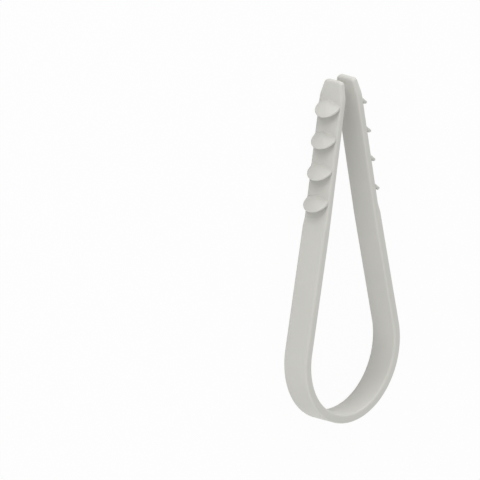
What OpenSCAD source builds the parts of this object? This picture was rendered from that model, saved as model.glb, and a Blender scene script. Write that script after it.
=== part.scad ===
// Push-in cable clip: one moulded strap that loops round a cable and ends in two
// barbed legs, which are squeezed together and pushed into a drilled hole.
// The clip lies on one edge of its strap. The loop is in the XY plane, the tips
// point along +Y, and the origin is on the axis of the loop, level with that edge.

/* [Strap] */
// Width of the strap, and so the height of the clip as it lies
strap_w = 7; // [5:0.5:10]
// Thickness of the strap
strap_t = 2.1; // [1.6:0.1:2.8]
// Radius of the four long edges of the strap
edge_r = 0.55; // [0.2:0.05:0.7]

/* [Cable loop] */
// Inner radius of the loop, which is the radius of the largest cable
loop_r = 14.5; // [8:0.5:20]
// Length of each plain leg, from the end of the loop to the bend
plain_len = 28; // [15:1:45]

/* [Legs] */
// Gap between the inner faces of the two tips
tip_gap = 2.4; // [1:0.2:5]
// Angle by which each leg straightens at its bend
bend_angle = 1.5; // [0.5:0.5:4]
// Radius of the bend, on the inner face of the strap
bend_r = 60; // [50:10:250]
// Thickness of the barbed legs, which are thinner than the rest of the strap
leg_t = 1.7; // [1.6:0.1:2]
// Length of each leg from its bend to the slope on its outer face that thins it
slope_start = 0.3; // [0.2:0.1:3]
// Length of that slope
slope_len = 2.2; // [1.5:0.1:3]
// Plain length of each barbed leg, from the bend to its last barb
barb_tail = 7.25; // [6:0.05:15]

/* [Barbs] */
// Number of barbs on each leg
barb_count = 4; // [2:1:6]
// Distance from one barb to the next
barb_pitch = 7.45; // [5:0.05:12]
// Distance from the end of the tip to its first barb
barb_first = 6.6; // [5.5:0.05:12]
// Bare strip of the outer face at each side of a barb
barb_margin = 0.3; // [0.1:0.05:1]
// Slant of a barb's flat underside, back from square to the leg
barb_slant = 43; // [20:1:55]
// Height of the dome of a barb, above its rim
barb_rise = 1; // [0.6:0.05:1.5]
// Thickness of the rim of a barb
barb_rim = 0.5; // [0.1:0.05:0.6]
// Height of the middle of a barb's underside above the outer face
barb_lift = 0.25; // [0:0.05:0.5]

/* [Tips] */
// Length of the narrowing at each tip
taper_len = 4; // [2.5:0.5:5]
// Angle by which each side of a tip narrows
taper_angle = 15.5; // [5:0.5:20]
// Radius of the end of a tip, seen from its side
tip_r = 0.8; // [0.3:0.1:0.8]
// Radius of the end of a tip, seen from its front
tip_corner_r = 0.8; // [0.3:0.1:1]

/* [Hidden] */
// The barbed leg is as long as its barbs need
barbed_len = barb_first + (barb_count - 1) * barb_pitch + barb_tail;
// A bend takes this much off each of the two straight stretches that it joins
bend_cut = bend_r * tan(bend_angle / 2);
// Lean of the plain legs that brings the tips tip_gap apart. Across the clip a leg runs
// loop_r*cos(lean) - plain_len*sin(lean) - barbed_len*sin(lean - bend_angle) = tip_gap/2
across = loop_r + barbed_len * sin(bend_angle);
along = plain_len + barbed_len * cos(bend_angle);
lean = acos(tip_gap / 2 / norm([across, along])) - atan2(along, across);
// A rounding's centre is this share of its radius in from the faces that it joins. It
// meets them at a slight angle, since curves that cross build better than ones that touch.
blend = 0.985;
// A barb is a slice of a sphere, set into the outer face of the leg
barb_r = strap_w / 2 - barb_margin;
dome_r = (pow(barb_r, 2) + pow(barb_rise, 2)) / (2 * barb_rise);
barb_root = leg_t / 3;
// Width of the tip a little before its end. Its rounded corners are set to this width,
// and so they cross the slanted sides of the tip cleanly.
end_w = strap_w - 2 * (taper_len - 1.25 * tip_corner_r) * tan(taper_angle);
// Longer than anything that a cutting shape has to pass right through
beyond = 3 * strap_w;
// Farther than the loop reaches, but less than the bend's far side
clear = 2 * loop_r;
// Facets of the bend's full ring, where it is drawn as a mesh
bend_facets = 720;

strap_color = [0.78, 0.78, 0.76];
$fn = 96;

// Rectangle with rounded corners, from the origin to [width, height]
module rounded_rect(width, height, r) {
    inset = r * blend;
    intersection() {
        square([width, height]);
        union() {
            translate([inset, 0]) square([width - 2 * inset, height]);
            translate([0, inset]) square([width, height - 2 * inset]);
            for (x = [inset, width - inset], y = [inset, height - inset])
                translate([x, y]) circle(r);
        }
    }
}

// Section of the strap: its inner face is on the Y axis
module section(thick = strap_t, height = strap_w) {
    rounded_rect(thick, height, edge_r);
}

// Straight bar of the strap's section along +Y
module bar(length, thick = strap_t, height = strap_w) {
    translate([0, length, 0]) rotate([90, 0, 0]) linear_extrude(length) section(thick, height);
}

// Full ring of the strap's section about the Z axis, with inner radius r
module ring(r) {
    rotate_extrude() translate([r, 0]) section();
}

// Block that holds everything on the +Y side of the XZ plane
module front_half() {
    translate([-clear, 0, -edge_r]) cube([2 * clear, clear, strap_w + 2 * edge_r]);
}

// Bar whose upper face slopes down by taper_angle from the place where the tip starts
// to narrow. It turns about the centre of the edge's rounding, so the two roundings
// meet in a clean mitre.
module taper_bar(start) {
    edge_centre = strap_w - blend * edge_r;
    translate([0, start, edge_centre]) rotate([-taper_angle, 0, 0])
        translate([0, -start, -edge_centre - beyond]) bar(2 * start, leg_t, strap_w + beyond);
}

// Barbed leg along +Y with its narrowed and rounded tip, without its barbs
module tapered_leg(length) {
    start = length - taper_len;
    intersection() {
        bar(length, leg_t);
        taper_bar(start);
        translate([0, 0, strap_w]) mirror([0, 0, 1]) taper_bar(start);
        // end rounded towards the inner and outer faces
        translate([0, -beyond, 0])
            linear_extrude(strap_w) rounded_rect(leg_t, length + beyond, tip_r);
        // end rounded towards the two sides
        translate([0, 0, strap_w / 2]) rotate([90, 0, 90]) linear_extrude(leg_t) {
            translate([-beyond, -beyond / 2])
                square([length - tip_corner_r + beyond, beyond]);
            translate([start, -end_w / 2])
                rounded_rect(taper_len, end_w, tip_corner_r);
        }
    }
}

// Domed barb on the outer face of a leg, which is the plane x = 0, with its flat
// underside facing back towards the loop
module barb() {
    intersection() {
        translate([barb_lift, 0, 0]) rotate([-90, 0, -barb_slant]) rotate_extrude()
            intersection() {
                translate([0, barb_rim + barb_rise - dome_r]) circle(dome_r);
                square([barb_r, barb_rim + barb_rise]);
            }
        translate([-barb_root, -beyond / 2, -strap_w / 2]) cube([beyond, beyond, strap_w]);
    }
}

// Outer part of a leg just past its bend, as thick as the strap, whose outer face slopes
// down into the thinner leg. The slope turns about the centre of the edge's rounding.
module shoulder() {
    edge_centre = strap_t - blend * edge_r;
    slope = atan((strap_t - leg_t) / slope_len);
    intersection() {
        translate([leg_t / 2, 0, 0]) cube([strap_t, slope_start + 2 * slope_len, strap_w]);
        bar(slope_start + 2 * slope_len);
        translate([edge_centre, slope_start, 0]) rotate([0, 0, slope])
            translate([-edge_centre - beyond, -beyond, 0]) bar(2 * beyond, strap_t + beyond);
    }
}

// Straight barbed stretch of a leg: the barbs are counted back from the tip
module barbed_leg(length) {
    shoulder();
    tapered_leg(length);
    for (i = [0 : barb_count - 1])
        translate([leg_t, length - barb_first - i * barb_pitch, strap_w / 2]) barb();
}

// Puts its children where the barbed stretch of a leg starts, past the bend
module past_bend() {
    translate([bend_r, 0, 0]) rotate([0, 0, -bend_angle]) translate([-bend_r, 0, 0]) children();
}

// Slight bend of a leg, from the origin on. It is cut from a full ring by the two
// planes that the straight stretches start from.
module bend() {
    intersection() {
        translate([bend_r, 0, 0]) ring(bend_r - strap_t, $fn = bend_facets);
        front_half();
        past_bend() mirror([0, 1, 0]) front_half();
    }
}

// One leg along +Y, with its inner face on the Y axis
module leg() {
    bar(plain_len - bend_cut);
    translate([0, plain_len - bend_cut, 0]) {
        bend();
        past_bend() barbed_leg(barbed_len - bend_cut);
    }
}

// Round part of the strap: a ring without the part that lies between the legs. It is
// turned as the legs are, so that they meet it exactly.
module loop() {
    difference() {
        rotate([0, 0, lean]) ring(loop_r);
        intersection() {
            rotate([0, 0, lean]) front_half();
            rotate([0, 0, -lean]) front_half();
        }
    }
}

// The whole clip, with its two legs as mirror images
module cable_clip() {
    color(strap_color) {
        loop();
        for (side = [0, 1])
            mirror([side, 0, 0]) rotate([0, 0, lean]) translate([loop_r, 0, 0]) leg();
    }
}

cable_clip();
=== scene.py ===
"""A push-in cable clip, moulded in one piece of satin light grey nylon, lying on one edge
of its strap: the clip's surface, its finish, the floor, the light and the camera."""

import math

import bpy
import numpy as np
from mathutils import Matrix, Vector


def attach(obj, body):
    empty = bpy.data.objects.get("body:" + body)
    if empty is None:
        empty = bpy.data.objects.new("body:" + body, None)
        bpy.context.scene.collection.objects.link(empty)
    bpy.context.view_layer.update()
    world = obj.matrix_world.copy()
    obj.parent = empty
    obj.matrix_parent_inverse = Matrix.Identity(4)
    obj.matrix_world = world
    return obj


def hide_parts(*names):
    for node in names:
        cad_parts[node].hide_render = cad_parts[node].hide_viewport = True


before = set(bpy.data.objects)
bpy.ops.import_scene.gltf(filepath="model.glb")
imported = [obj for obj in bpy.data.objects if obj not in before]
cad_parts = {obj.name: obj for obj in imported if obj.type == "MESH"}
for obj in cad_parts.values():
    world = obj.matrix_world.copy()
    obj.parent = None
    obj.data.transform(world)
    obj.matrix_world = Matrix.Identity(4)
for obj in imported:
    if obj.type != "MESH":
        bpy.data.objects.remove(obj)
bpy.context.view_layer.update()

MM = 0.001

# ---- sizes of the clip, in millimetres, as its construction has them

STRAP_WIDTH = 7.0
STRAP_THICK = 2.1
LEG_THICK = 1.7
EDGE_RADIUS = 0.55
LOOP_RADIUS = 14.5
PLAIN_LENGTH = 28.0
BEND_RADIUS = 60.0
BEND_ANGLE = math.radians(1.5)
SLOPE_START = 0.3
SLOPE_LENGTH = 2.2
BARB_COUNT = 4
BARB_PITCH = 7.45
BARB_FIRST = 6.6
BARB_TAIL = 7.25
BARB_MARGIN = 0.3
BARB_SLANT = math.radians(43)
BARB_RISE = 1.0
BARB_RIM = 0.5
BARB_LIFT = 0.25
TIP_GAP = 2.4
TAPER_LENGTH = 4.0
TAPER_ANGLE = math.radians(15.5)
TIP_RADIUS = 0.8

BARBED_LENGTH = BARB_FIRST + (BARB_COUNT - 1) * BARB_PITCH + BARB_TAIL
BARB_RADIUS = STRAP_WIDTH / 2 - BARB_MARGIN
BEND_CUT = BEND_RADIUS * math.tan(BEND_ANGLE / 2)

# ---- fine forms of the surface, in millimetres

# Lengths over which the slope past the bend and the taper of a tip set in
SLOPE_SOFT = 0.15
TAPER_SOFT = 0.3
# Where the strap is too thin for its edge radius, this share of its half thickness is used
THIN_EDGE = 0.96
# Power by which a barb's crown falls from its middle: 1 makes a cone, 2 nearly a sphere
CROWN_POWER = 1.5
# Fillets at the crown's root and at the underside's, and the roundings of the rim
ROOT_FILLET = 0.12
HEEL_FILLET = 0.25
RIM_ROUNDING = 0.12
RIM_BEVEL = 0.25
# The rim thins to nothing from where a barb's section is this share of its middle one on
RIM_FADE = 0.22
# Depths to which a barb's skin goes on below the face: at its lines of contact and midway
CONTACT_DEPTH = 0.015
ROOT_DEPTH = 0.45


def leg_lean():
    """Lean of the plain legs, which puts the tips TIP_GAP apart: the angle whose cosine is half
    the gap over the reach of a leg, less the angle of that reach itself."""
    across = LOOP_RADIUS + BARBED_LENGTH * math.sin(BEND_ANGLE)
    along = PLAIN_LENGTH + BARBED_LENGTH * math.cos(BEND_ANGLE)
    return math.acos(TIP_GAP / 2 / math.hypot(across, along)) - math.atan2(along, across)


# The strap's middle line, from the bottom of the loop to a tip: the lengths at which its
# heading starts or stops turning, and the headings there
LOOP_TURN = math.pi / 2 + leg_lean()
RUNS = [
    (LOOP_RADIUS + STRAP_THICK / 2) * LOOP_TURN,
    PLAIN_LENGTH - BEND_CUT,
    (BEND_RADIUS - STRAP_THICK / 2) * BEND_ANGLE,
    BARBED_LENGTH - BEND_CUT,
]
MARKS = np.concatenate([[0.0], np.cumsum(RUNS)])
HEADINGS = np.array([0, LOOP_TURN, LOOP_TURN, LOOP_TURN - BEND_ANGLE, LOOP_TURN - BEND_ANGLE])
HALF_LENGTH = MARKS[-1]
# Number of points between which the middle line is summed up
MIDDLE_STEPS = 20001


# ---- surfaces


def middle_line(along):
    """Point, direction and outward normal of the strap's middle line at signed lengths from the
    bottom of the loop. The heading is a broken line in the length, the point is the running sum
    of the cosine and sine of the heading, and the left half mirrors the right one."""
    steps = np.linspace(0, HALF_LENGTH, MIDDLE_STEPS)
    middles = np.interp((steps[1:] + steps[:-1]) / 2, MARKS, HEADINGS)
    reach = np.cumsum(np.stack([np.cos(middles), np.sin(middles)], 1), 0) * steps[1]
    reach = np.concatenate([np.zeros((1, 2)), reach])
    side, length = np.where(along < 0, -1.0, 1.0), np.abs(along)
    heading = side * np.interp(length, MARKS, HEADINGS)
    x = side * np.interp(length, steps, reach[:, 0])
    y = np.interp(length, steps, reach[:, 1]) - LOOP_RADIUS - STRAP_THICK / 2
    level = np.full_like(x, STRAP_WIDTH / 2)
    flat = np.zeros_like(x)
    return (
        np.stack([x, y, level], 1),
        np.stack([np.cos(heading), np.sin(heading), flat], 1),
        np.stack([np.sin(heading), -np.cos(heading), flat], 1),
    )


def rounded_ring(flat_across, flat_thick, corner):
    """Unit data of a rounded rectangle walked once round: for each point the corner of the core
    rectangle, sliding from -1 to 1 along the flats, and the direction in which the corner's
    radius is added, which turns through a right angle at each corner."""
    core, turn = [], []
    corners = [(1, -1), (1, 1), (-1, 1), (-1, -1)]
    flats = [flat_across, flat_thick, flat_across, flat_thick]
    for quarter, (here, flat) in enumerate(zip(corners, flats)):
        start = (quarter - 1) * math.pi / 2
        angles = start + np.linspace(0, math.pi / 2, corner + 1)
        core.append(np.tile(np.array(here, float), (corner + 1, 1)))
        turn.append(angles)
        there = np.array(corners[(quarter + 1) % 4], float)
        share = np.linspace(0, 1, flat + 1)[1:-1, None]
        core.append(np.array(here) * (1 - share) + there * share)
        turn.append(np.full(flat - 1, start + math.pi / 2))
    core, turn = np.concatenate(core), np.concatenate(turn)
    return core, np.stack([np.cos(turn), np.sin(turn)], 1)


def ramp(length, soft):
    """Zero below zero and the length itself above it, the corner softened over a short way: the
    softness times the logarithm of one plus e to the power of the length over the softness."""
    return soft * np.logaddexp(0, length / soft)


def strap_rings():
    """The strap: a rounded rectangle carried along the middle line. Past the bend its outer face
    slopes in to the thinner leg. Near a tip its half width falls along a straight taper that
    sets in softly, and over the last TIP_RADIUS both half sizes follow a quarter circle down to
    a small flat end, whose rings shrink to its centre."""
    slope = MARKS[3] + SLOPE_START
    slope_end = slope + SLOPE_LENGTH
    taper = HALF_LENGTH - TAPER_LENGTH
    near_slope, near_taper = 4 * SLOPE_SOFT, 5 * TAPER_SOFT
    # rings lie closer where the section changes
    stops = [
        0,
        slope - near_slope,
        slope_end + near_slope,
        taper - near_taper,
        HALF_LENGTH - TIP_RADIUS,
    ]
    runs = zip(stops[:-1], stops[1:], [130, 20, 70, 30])
    body = [np.linspace(start, stop, count, endpoint=False) for start, stop, count in runs]
    end = HALF_LENGTH - TIP_RADIUS * (1 - np.sin(np.linspace(0, math.pi / 2, 13)))
    half = np.concatenate(body + [end])
    end_shares = [0.6, 0.2]
    shrink = np.concatenate([np.ones_like(half), end_shares])
    half = np.concatenate([half, [HALF_LENGTH] * len(end_shares)])
    along = np.concatenate([-half[:0:-1], half])
    shrink = np.concatenate([shrink[:0:-1], shrink])[:, None, None]

    left = HALF_LENGTH - np.abs(along)
    past = np.abs(along) - slope
    fallen = ramp(past, SLOPE_SOFT) - ramp(past - SLOPE_LENGTH, SLOPE_SOFT)
    thinned = (STRAP_THICK - LEG_THICK) / SLOPE_LENGTH * fallen
    narrowed = math.tan(TAPER_ANGLE) * ramp(TAPER_LENGTH - left, TAPER_SOFT)
    into = np.clip(1 - left / TIP_RADIUS, 0, 1)
    rounded = TIP_RADIUS * (1 - np.sqrt(1 - into**2))
    half_thick = (STRAP_THICK - thinned) / 2 - rounded
    half_width = STRAP_WIDTH / 2 - narrowed - rounded
    radius = np.minimum(EDGE_RADIUS, THIN_EDGE * half_thick)

    point, _, outward = middle_line(along)
    point = point - outward * thinned[:, None] / 2
    core, turn = rounded_ring(flat_across=14, flat_thick=4, corner=8)
    sizes = np.stack([half_thick, half_width], 1)[:, None, :]
    offset = core * (sizes - radius[:, None, None]) + turn * radius[:, None, None]
    offset = offset * shrink
    up = np.array([0.0, 0.0, 1.0])
    rings = point[:, None, :] + offset[..., :1] * outward[:, None, :] + offset[..., 1:] * up
    return rings, point[0], point[-1]


def bezier(points, count):
    """Points of a Bezier curve from the first of its control points to the last, by repeated
    straight shares of neighbours. The points of the curve run along the first axis."""
    share = np.linspace(0, 1, count).reshape(-1, *([1] * points[0].ndim))
    level = [p[None] for p in points]
    while len(level) > 1:
        level = [a * (1 - share) + b * share for a, b in zip(level[:-1], level[1:])]
    return level[0]


def barb_rings():
    """One barb in its own axes: across the strap, towards the tip, and out of the face. It is a
    slanted disc with a crowned top, the middle of its underside a little above the face. The
    crown falls from its middle by BARB_RISE times the power CROWN_POWER of the distance from
    the middle over the disc's radius. At each distance across, the outline is the section of
    that shape: the crown from the face up, a rounded and bevelled rim, the flat underside, a
    fillet back to the face, and a way back under the face. Near the two sides the rim thins
    along a quarter circle, which closes them softly."""
    cos_slant, sin_slant = math.cos(BARB_SLANT), math.sin(BARB_SLANT)
    turn = np.linspace(-math.pi / 2, math.pi / 2, 73)[1:-1]
    across = BARB_RADIUS * np.sin(turn)
    close = np.minimum(1.0, np.cos(turn) / RIM_FADE)
    rim = BARB_RIM * np.sqrt(close * (2 - close))
    edge = np.sqrt(BARB_RADIUS**2 - across**2)

    def place(out, lift):
        """Point at a distance out along the disc and a lift off its underside."""
        ahead = lift * cos_slant - out * sin_slant
        outward = out * cos_slant + lift * sin_slant + BARB_LIFT
        return np.stack([ahead, outward], -1)

    def on_crown(out):
        """Point of the crown at a distance out along the disc."""
        away = np.minimum(np.hypot(out, across) / BARB_RADIUS, 1)
        return place(out, rim + BARB_RISE * (1 - away**CROWN_POWER))

    # halving finds where the crown meets the face, or else it starts at the disc's own edge
    root, high = -edge, np.zeros_like(edge)
    for _ in range(30):
        middle = (root + high) / 2
        buried = on_crown(middle)[..., 1] < 0
        root, high = np.where(buried, middle, root), np.where(buried, high, middle)
    heel = np.full_like(edge, -BARB_LIFT / cos_slant)
    span = edge - root
    # each rounding shrinks where the barb is too short for it
    flare = np.minimum(ROOT_FILLET, 0.25 * span)
    nose = np.minimum(RIM_ROUNDING, 0.2 * span)
    bevel = np.minimum(RIM_BEVEL, 0.25 * span)
    fillet = np.minimum(HEEL_FILLET, 0.3 * (edge - heel))
    rim_upper, rim_lower = 0.7 * rim, 0.35 * rim
    flat = np.zeros_like(across)

    start = on_crown(root)
    first = start + np.stack([flare, flat], -1)
    share = np.linspace(0, 1, 22)[1:-1, None]
    crown_from, crown_to = root + flare, edge - nose
    outs = crown_from * (1 - share) + crown_to * share
    rim_side, under = place(edge, rim_upper), place(edge - bevel, flat)
    under_end, corner = place(heel + fillet, flat), place(heel, flat)
    foot = corner - np.stack([fillet, flat], -1)
    deep = np.stack([flat, -ROOT_DEPTH * np.cos(turn)], -1)
    outline = np.concatenate(
        [
            bezier([first, start, on_crown(crown_from)], 9),
            on_crown(outs),
            bezier([on_crown(crown_to), place(edge, rim), rim_side], 6),
            bezier([rim_side, place(edge, rim_lower), under], 8)[1:],
            bezier([under, under_end], 8)[1:-1],
            bezier([under_end, corner, foot], 8),
            bezier([foot + deep, first + deep], 5),
        ]
    )
    # near the strap's long edges the barb follows the edge rounding down
    edge_in = np.maximum(np.abs(across) - (STRAP_WIDTH / 2 - EDGE_RADIUS), 0)
    drop = EDGE_RADIUS - np.sqrt(EDGE_RADIUS**2 - edge_in**2)
    outline[..., 1] -= drop + CONTACT_DEPTH
    wide = np.broadcast_to(across[None, :, None], outline.shape[:2] + (1,))
    rings = np.concatenate([wide, outline], -1).transpose(1, 0, 2)
    return rings, rings[0].mean(0), rings[-1].mean(0)


def skin(rings, first, last):
    """Vertices and faces of a closed tube: quads between neighbouring rings, and a fan of
    triangles from each end ring to its pole. Faces are turned to point outwards."""
    count, size = rings.shape[:2]
    vertices = np.concatenate([rings.reshape(-1, 3), [first, last]])
    row = np.arange(count - 1)[:, None] * size
    here, after = np.arange(size), (np.arange(size) + 1) % size
    quads = np.stack([row + here, row + after, row + size + after, row + size + here], -1)
    quads = quads.reshape(-1, 4)
    first_pole, last_pole = count * size, count * size + 1
    last_row = (count - 1) * size
    start = np.stack([np.full(size, first_pole), after, here], 1)
    finish = np.stack([np.full(size, last_pole), last_row + here, last_row + after], 1)
    triangles = np.concatenate([start, finish])
    corners = np.concatenate([quads[:, :3], quads[:, [0, 2, 3]], triangles])
    a, b, c = (vertices[corners[:, i]] for i in range(3))
    if np.sum(a * np.cross(b, c)) < 0:
        quads, triangles = quads[:, ::-1], triangles[:, ::-1]
    return vertices, quads, triangles


def clip_surface():
    """The whole clip as closed skins that run into each other: the strap, and on each leg the
    barbs, each put at its length from the tip on the strap's outer face."""
    skins = [skin(*strap_rings())]
    shape, first, last = barb_rings()
    for side in (-1, 1):
        for number in range(BARB_COUNT):
            along = side * (HALF_LENGTH - BARB_FIRST - number * BARB_PITCH)
            point, ahead, outward = (v[0] for v in middle_line(np.array([along])))
            axes = np.stack([[0.0, 0.0, 1.0], ahead * side, outward])
            origin = point + outward * (LEG_THICK - STRAP_THICK / 2)
            skins.append(skin(shape @ axes + origin, first @ axes + origin, last @ axes + origin))
    starts = np.cumsum([0] + [len(v) for v, _, _ in skins])
    vertices = np.concatenate([v for v, _, _ in skins]) * MM
    quads = np.concatenate([q + start for (_, q, _), start in zip(skins, starts)])
    triangles = np.concatenate([t + start for (_, _, t), start in zip(skins, starts)])
    return vertices, quads, triangles


def mesh_object(name, vertices, quads, triangles):
    """A smooth-shaded mesh object at the origin, its corners listed face after face."""
    mesh = bpy.data.meshes.new(name)
    mesh.vertices.add(len(vertices))
    mesh.vertices.foreach_set("co", vertices.astype(np.float32).ravel())
    corners = np.concatenate([quads.ravel(), triangles.ravel()]).astype(np.int32)
    sizes = np.concatenate([np.full(len(quads), 4), np.full(len(triangles), 3)])
    mesh.loops.add(len(corners))
    mesh.loops.foreach_set("vertex_index", corners)
    mesh.polygons.add(len(sizes))
    mesh.polygons.foreach_set("loop_start", (np.cumsum(sizes) - sizes).astype(np.int32))
    mesh.polygons.foreach_set("use_smooth", np.ones(len(sizes), bool))
    mesh.update(calc_edges=True)
    mesh.validate()
    piece = bpy.data.objects.new(name, mesh)
    bpy.context.scene.collection.objects.link(piece)
    return piece


# ---- finishes


class Wire:
    """A node's output socket. Arithmetic on it adds Math nodes to its tree."""

    def __init__(self, finish, socket):
        self.finish, self.socket = finish, socket

    def _maths(self, operation, *values):
        return self.finish.node("ShaderNodeMath", {"operation": operation}, *values)[0]

    def __add__(self, other):
        return self._maths("ADD", self, other)

    def __mul__(self, other):
        return self._maths("MULTIPLY", self, other)

    __radd__, __rmul__ = __add__, __mul__

    def at_most(self, other):
        return self._maths("MINIMUM", self, other)


class Finish:
    """A node tree under construction, for a material or the world."""

    def __init__(self, owner):
        owner.use_nodes = True
        self.owner, self.tree = owner, owner.node_tree
        self.tree.nodes.clear()

    def node(self, kind, settings=None, *values, **named):
        """Adds a node: its settings first, then its sockets, by order or by name, each from a
        Wire or a constant. Returns the node's outputs as Wires."""
        node = self.tree.nodes.new(kind)
        for name, value in (settings or {}).items():
            setattr(node, name, value)
        known = {s.identifier: s for s in node.inputs}
        known.update({s.name.replace(" ", "_"): s for s in node.inputs if s.enabled})
        pairs = list(zip(node.inputs, values)) + [(known[n], v) for n, v in named.items()]
        for socket, value in pairs:
            if isinstance(value, Wire):
                self.tree.links.new(value.socket, socket)
            else:
                socket.default_value = value
        return [Wire(self, s) for s in node.outputs if s.enabled]

    def end(self, kind, surface):
        self.node(kind, None, Surface=surface)
        return self.owner


WHITE, FLOOR_GREY = (1, 1, 1, 1), (0.82, 0.82, 0.82, 1)
# Share of the floor's look that is its even glow and not lit paper
FLOOR_GLOW = 0.95
DARKER_GREY, LIGHTER_GREY = (0.575, 0.572, 0.535, 1), (0.625, 0.618, 0.580, 1)
# Place of the Object output among those of Texture Coordinate
OBJECT_COORDINATES = 3


def nylon():
    """Satin moulded nylon: an even light grey with a faint cloudiness where the melt flowed, a
    fine matt grain left by the mould's walls, and slow waves of the surface."""
    finish = Finish(bpy.data.materials.new("grey_nylon"))
    place = finish.node("ShaderNodeTexCoord")[OBJECT_COORDINATES]

    def noise(scale, detail):
        settings = {"Vector": place, "Scale": scale, "Detail": detail}
        return finish.node("ShaderNodeTexNoise", None, **settings)[0]

    clouds, flecks = noise(140.0, 3.0), noise(2600.0, 2.0)
    grain, waves = noise(5200.0, 3.0), noise(420.0, 1.0)
    tone = finish.node(
        "ShaderNodeMix",
        {"data_type": "RGBA"},
        Factor_Float=clouds * 0.75 + flecks * 0.25,
        A_Color=DARKER_GREY,
        B_Color=LIGHTER_GREY,
    )[0]
    height = grain * 0.3 + flecks * 0.3 + waves
    depth = 0.02 * MM
    bump = finish.node("ShaderNodeBump", None, Strength=0.35, Distance=depth, Height=height)[0]
    surface = finish.node(
        "ShaderNodeBsdfPrincipled",
        None,
        Base_Color=tone,
        Roughness=0.44 + clouds * 0.08 + grain * 0.06,
        IOR=1.53,
        Normal=bump,
    )[0]
    return finish.end("ShaderNodeOutputMaterial", surface)


def seen(finish):
    """One for what the camera sees, straight or through a glossy or clear surface, else zero."""
    path = finish.tree.nodes.new("ShaderNodeLightPath")
    wires = {s.name: Wire(finish, s) for s in path.outputs}
    rays = wires["Is Camera Ray"] + wires["Is Glossy Ray"] + wires["Is Transmission Ray"]
    return rays.at_most(1.0)


def paper():
    """A plain white floor that mostly glows evenly to the eye and still takes a soft shadow."""
    finish = Finish(bpy.data.materials.new("white_floor"))
    matt = finish.node("ShaderNodeBsdfDiffuse", None, Color=FLOOR_GREY)[0]
    glow = finish.node("ShaderNodeEmission", None, Color=WHITE, Strength=1.0)[0]
    glowing = seen(finish) * FLOOR_GLOW
    surface = finish.node("ShaderNodeMixShader", None, glowing, matt, glow)[0]
    return finish.end("ShaderNodeOutputMaterial", surface)


# ---- the clip

clip = mesh_object("moulded_clip", *clip_surface())
clip.data.materials.append(nylon())
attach(clip, "root")
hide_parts("cable_clip")

# ---- floor

FLOOR_SIZE = 3.0
corners = np.array([[-1, -1, 0], [1, -1, 0], [1, 1, 0], [-1, 1, 0]]) * FLOOR_SIZE / 2
floor = mesh_object("floor", corners, np.array([[0, 1, 2, 3]]), np.zeros((0, 3), int))
floor.data.materials.append(paper())

# ---- camera: a parallel view that looks down on the clip with the tips up in the picture.
# To a clip held with its tips up, it stands in front, to the left and a little above.

YAW, PITCH, ROLL = math.radians(48.81), math.radians(18.35), math.radians(0.28)
VIEW_WIDTH = 110.62
CAMERA_DISTANCE = 400
# The aim lies this far left of and above the loop's axis at the upper edge, as seen
AIM_LEFT, AIM_UP = 26.17, 26.14

cos_yaw, sin_yaw, sin_pitch = math.cos(YAW), math.sin(YAW), math.sin(PITCH)
right = Vector((cos_yaw, 0, sin_yaw))
up = Vector((sin_pitch * sin_yaw, math.cos(PITCH), -sin_pitch * cos_yaw))
turned_right = math.cos(ROLL) * right - math.sin(ROLL) * up
turned_up = math.sin(ROLL) * right + math.cos(ROLL) * up
back = turned_right.cross(turned_up)
aim = Vector((0, 0, STRAP_WIDTH)) - turned_right * AIM_LEFT + turned_up * AIM_UP
lens = bpy.data.cameras.new("camera")
lens.type = "ORTHO"
lens.ortho_scale = VIEW_WIDTH * MM
lens.clip_start, lens.clip_end = 0.01, 10.0
camera = bpy.data.objects.new("camera", lens)
bpy.context.scene.collection.objects.link(camera)
turn = Matrix((turned_right, turned_up, back)).transposed().to_4x4()
camera.matrix_world = Matrix.Translation((aim + back * CAMERA_DISTANCE) * MM) @ turn
bpy.context.scene.camera = camera

# ---- light


# Distance and side of each lamp, in metres, and the point of the clip that all of them face
LAMP_DISTANCE, LAMP_SIZE = 0.6, 0.3
LIT_POINT = Vector((0, 0.025, 0.0035))


def softbox(name, direction, power):
    """A square area lamp that faces the clip's middle from a direction."""
    lamp = bpy.data.lights.new(name, "AREA")
    lamp.size, lamp.energy = LAMP_SIZE, power
    holder = bpy.data.objects.new(name, lamp)
    bpy.context.scene.collection.objects.link(holder)
    away = Vector(direction).normalized()
    holder.location = LIT_POINT + away * LAMP_DISTANCE
    holder.rotation_mode = "QUATERNION"
    holder.rotation_quaternion = away.to_track_quat("Z", "Y")


softbox("key", (-0.60, 0.80, 0.12), 1.46)
softbox("low fill", (-0.46, -0.80, 0.36), 0.80)
softbox("far fill", (0.45, 0.88, 0.15), 1.40)

world = bpy.data.worlds.new("studio")
bpy.context.scene.world = world
room = Finish(world)
ambient = room.node("ShaderNodeBackground", None, Color=WHITE, Strength=0.65)[0]
white = room.node("ShaderNodeBackground", None, Color=WHITE, Strength=1.0)[0]
backdrop = room.node("ShaderNodeMixShader", None, seen(room), ambient, white)[0]
room.end("ShaderNodeOutputWorld", backdrop)

bpy.context.scene.view_settings.view_transform = "Standard"
